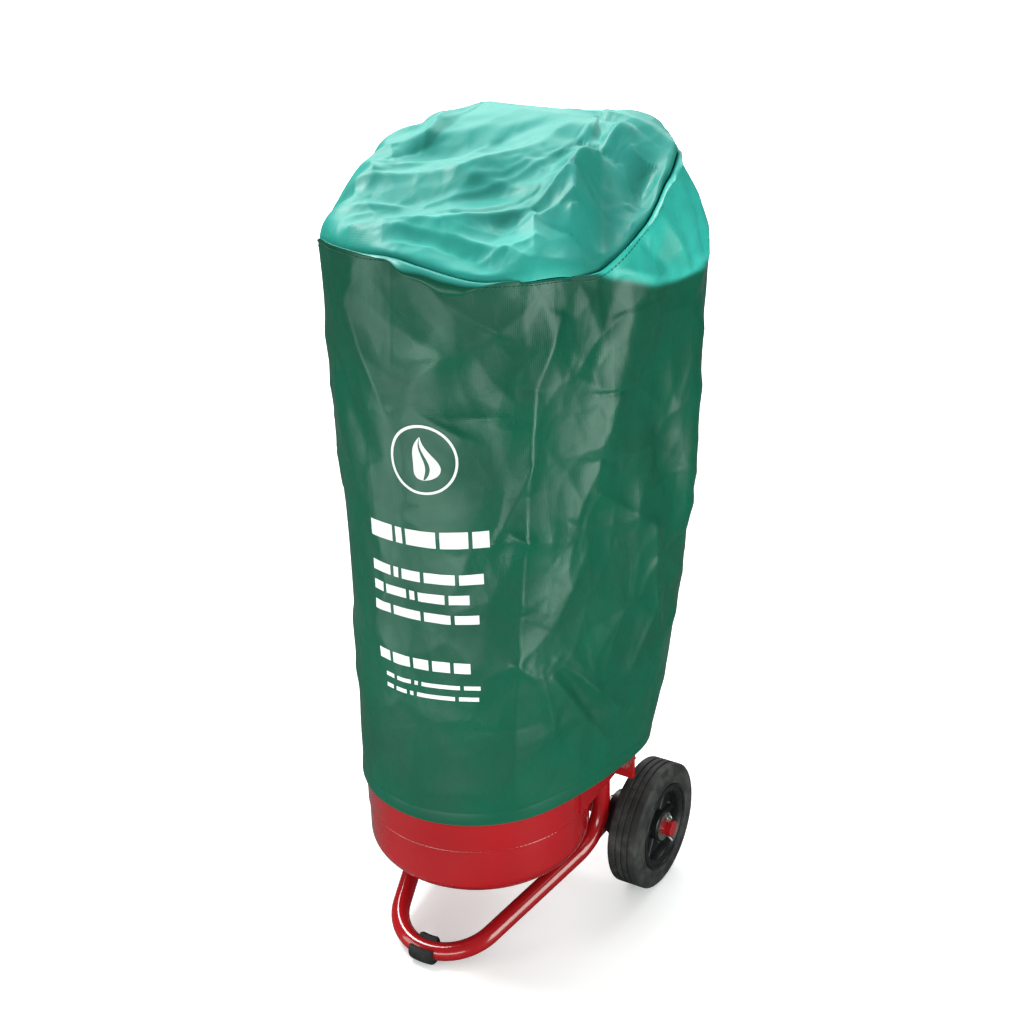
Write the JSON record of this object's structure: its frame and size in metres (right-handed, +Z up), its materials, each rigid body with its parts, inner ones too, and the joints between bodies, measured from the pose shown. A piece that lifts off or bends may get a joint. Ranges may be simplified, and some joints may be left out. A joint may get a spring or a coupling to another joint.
{
  "type": "wheeled fire extinguisher",
  "caption": "Dry-powder fire extinguisher on a red tube frame with two wheels and a front foot loop, under a green fabric cover.",
  "frame": {"origin": "on the floor under the middle of the whole object's box; the vessel axis is 68 mm in front of it", "axes": "+Z up, -Y towards the front foot loop, +X to the right when looking along +Y, parallel to the axle"},
  "size_m": [0.3844, 0.43, 0.953],
  "materials": {
    "red_paint": "gloss",
    "steel": "satin",
    "inner_tube": "satin",
    "powder": "matte",
    "brass": "satin",
    "yellow_plastic": "gloss",
    "chrome": "polished",
    "dial": "matte",
    "lens": "gloss",
    "rubber": "matte",
    "tyre": "matte",
    "black_plastic": "satin",
    "bush_plastic": "satin",
    "cover_cloth": "satin"
  },
  "bodies": {
    "vessel_and_frame": {"cylinder_shell": "red_paint", "bottom_head": "red_paint", "top_head": "red_paint", "neck_ring": "steel", "neck_seal": "rubber", "siphon_tube": "inner_tube", "powder_charge": "powder", "valve_body": "brass", "hose_outlet": "brass", "valve_spring": "steel", "carry_handle": "red_paint", "lever_pivot_pin": "steel", "gauge_case": "chrome", "gauge_dial": "dial", "gauge_pivot": "brass", "gauge_lens": "lens", "foot_loop": "red_paint", "foot_pad": "rubber", "upright_left": "red_paint", "upright_right": "red_paint", "push_handle": "red_paint", "handle_grip": "rubber", "lower_saddle_left": "red_paint", "lower_saddle_right": "red_paint", "upper_saddle_left": "red_paint", "upper_saddle_right": "red_paint", "lower_rear_band": "red_paint", "upper_rear_band": "red_paint", "band_bolts": "steel", "band_nuts": "steel", "axle": "red_paint", "axle_bracket_left": "red_paint", "axle_bracket_right": "red_paint", "inner_washers": "steel", "outer_washers": "steel", "split_pins": "steel"},
    "wheel_left": {"tyre_left": "tyre", "rim_left": "black_plastic", "hub_bush_left": "bush_plastic"},
    "wheel_right": {"tyre_right": "tyre", "rim_right": "black_plastic", "hub_bush_right": "bush_plastic"},
    "lever": {"squeeze_lever": "red_paint"},
    "stem": {"valve_stem": "steel"},
    "pin": {"safety_pin": "steel", "pull_ring": "steel", "tamper_tie": "yellow_plastic"},
    "needle": {"gauge_needle": "black_plastic"},
    "cover": {"cover_side": "cover_cloth", "cover_top": "cover_cloth"}
  },
  "joints": [
    {"name": "wheel_left_spin", "type": "hinge", "parent": "vessel_and_frame", "child": "wheel_left", "pos_m": [-0.1585, 0.0766, 0.08], "axis": [1, 0, 0], "continuous": true},
    {"name": "wheel_right_spin", "type": "hinge", "parent": "vessel_and_frame", "child": "wheel_right", "pos_m": [0.1585, 0.0766, 0.08], "axis": [1, 0, 0], "continuous": true},
    {"name": "cover_lift", "type": "slide", "parent": "vessel_and_frame", "child": "cover", "axis": [0, 0, 1], "range_m": [0, 0.8]},
    {"name": "lever_squeeze", "type": "hinge", "parent": "vessel_and_frame", "child": "lever", "pos_m": [0.022, -0.068, 0.752], "axis": [0, -1, 0], "range_deg": [0, 9], "stiffness_Nm_per_rad": 2},
    {"name": "stem_press", "type": "slide", "parent": "vessel_and_frame", "child": "stem", "axis": [0, 0, -1], "range_m": [0, 0.0036], "deforming": ["valve_spring"]},
    {"name": "pin_pull", "type": "slide", "parent": "vessel_and_frame", "child": "pin", "axis": [0, -1, 0], "range_m": [0, 0.045]},
    {"name": "needle_turn", "type": "hinge", "parent": "vessel_and_frame", "child": "needle", "pos_m": [0, -0.114, 0.694], "axis": [0, 1, 0], "range_deg": [-60, 60]}
  ],
  "couplings": [
    {"joint": "stem_press", "follows": "lever_squeeze", "m_per_rad": 0.022}
  ]
}
